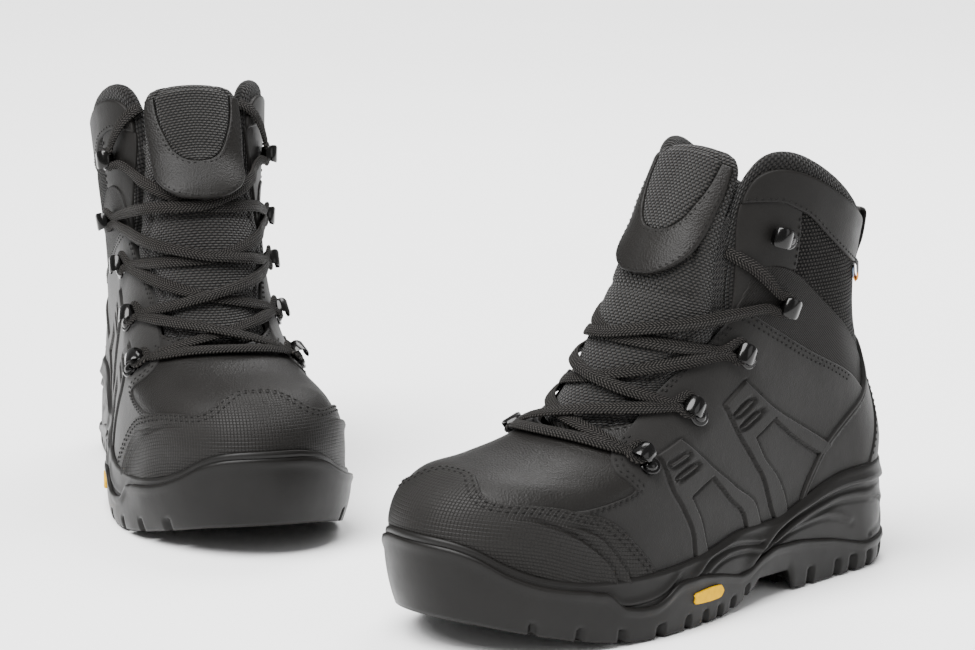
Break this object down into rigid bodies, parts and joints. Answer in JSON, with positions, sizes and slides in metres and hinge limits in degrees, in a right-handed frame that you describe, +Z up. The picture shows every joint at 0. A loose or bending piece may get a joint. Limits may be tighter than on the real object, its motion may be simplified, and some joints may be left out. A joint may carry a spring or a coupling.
{
  "type": "pair of hiking boots",
  "caption": "Pair of mid-height lace-up hiking boots with padded collars, speed-hook lacing, padded tongues, toe caps and lugged rubber soles with raised toe bumpers.",
  "frame": {"origin": "centre of the pair's bounding box on the ground", "axes": "+Z up from the ground; +Y away from the toes' side of the pair, its longest extent; +X to the left boot's side"},
  "size_m": [0.4085, 0.4542, 0.2147],
  "materials": {
    "sole_rubber": "moulded black rubber",
    "midsole_rubber": "moulded dark midsole",
    "vamp_leather": "smooth fine-grained leather, slight sheen",
    "nubuck": "matt waxed nubuck",
    "overlay_leather": "embossed coated leather",
    "tongue_fabric": "coarse ballistic weave",
    "collar_mesh": "padded mesh",
    "lining_fabric": "knitted lining",
    "footbed_foam": "felt-faced foam",
    "lace_cord": "round-edged flat braid",
    "hook_metal": "gloss black",
    "badge_rubber": "plain yellow",
    "board": "fibre board",
    "shank_steel": "spring steel strip"
  },
  "bodies": {
    "root": {"left_outsole": "sole_rubber", "left_midsole": "midsole_rubber", "left_insole_board": "board", "left_footbed": "footbed_foam", "left_shank": "shank_steel", "left_sole_badge": "badge_rubber", "left_vamp": "vamp_leather", "left_outer_quarter": "nubuck", "left_inner_quarter": "nubuck", "left_collar_leather": "nubuck", "left_collar_padding": "collar_mesh", "left_lining": "lining_fabric", "left_toe_cap": "overlay_leather", "left_toe_stiffener": "board", "left_heel_overlay": "nubuck", "left_heel_stiffener": "board", "left_tongue": "tongue_fabric", "left_lace": "lace_cord", "left_hook_outer_1": "hook_metal", "left_hook_outer_2": "hook_metal", "left_hook_outer_3": "hook_metal", "left_hook_outer_4": "hook_metal", "left_hook_outer_5": "hook_metal", "left_hook_inner_1": "hook_metal", "left_hook_inner_2": "hook_metal", "left_hook_inner_3": "hook_metal", "left_hook_inner_4": "hook_metal", "left_hook_inner_5": "hook_metal", "right_outsole": "sole_rubber", "right_midsole": "midsole_rubber", "right_insole_board": "board", "right_footbed": "footbed_foam", "right_shank": "shank_steel", "right_sole_badge": "badge_rubber", "right_vamp": "vamp_leather", "right_outer_quarter": "nubuck", "right_inner_quarter": "nubuck", "right_collar_leather": "nubuck", "right_collar_padding": "collar_mesh", "right_lining": "lining_fabric", "right_toe_cap": "overlay_leather", "right_toe_stiffener": "board", "right_heel_overlay": "nubuck", "right_heel_stiffener": "board", "right_tongue": "tongue_fabric", "right_lace": "lace_cord", "right_hook_outer_1": "hook_metal", "right_hook_outer_2": "hook_metal", "right_hook_outer_3": "hook_metal", "right_hook_outer_4": "hook_metal", "right_hook_outer_5": "hook_metal", "right_hook_inner_1": "hook_metal", "right_hook_inner_2": "hook_metal", "right_hook_inner_3": "hook_metal", "right_hook_inner_4": "hook_metal", "right_hook_inner_5": "hook_metal"},
    "left_tongue_top": {"left_tongue_top": "tongue_fabric"},
    "left_pull_loop": {"left_pull_loop": "overlay_leather"},
    "right_tongue_top": {"right_tongue_top": "tongue_fabric"},
    "right_pull_loop": {"right_pull_loop": "overlay_leather"}
  },
  "joints": [
    {"name": "left_tongue_flex", "type": "hinge", "parent": "root", "child": "left_tongue_top", "pos_m": [0.08936, -0.11513, 0.17615], "axis": [0.6947, -0.7193, 0], "range_deg": [-5, 30], "stiffness_Nm_per_rad": 0.15},
    {"name": "left_pull_loop_fold", "type": "hinge", "parent": "root", "child": "left_pull_loop", "pos_m": [0.18024, -0.02736, 0.14346], "axis": [-0.6947, 0.7193, 0], "range_deg": [0, 60], "stiffness_Nm_per_rad": 0.03},
    {"name": "right_tongue_flex", "type": "hinge", "parent": "root", "child": "right_tongue_top", "pos_m": [-0.14, 0.08587, 0.17615], "axis": [0.9744, 0.225, 0], "range_deg": [-5, 30], "stiffness_Nm_per_rad": 0.15},
    {"name": "right_pull_loop_fold", "type": "hinge", "parent": "root", "child": "right_pull_loop", "pos_m": [-0.16842, 0.20897, 0.14346], "axis": [-0.9744, -0.225, 0], "range_deg": [0, 60], "stiffness_Nm_per_rad": 0.03}
  ]
}
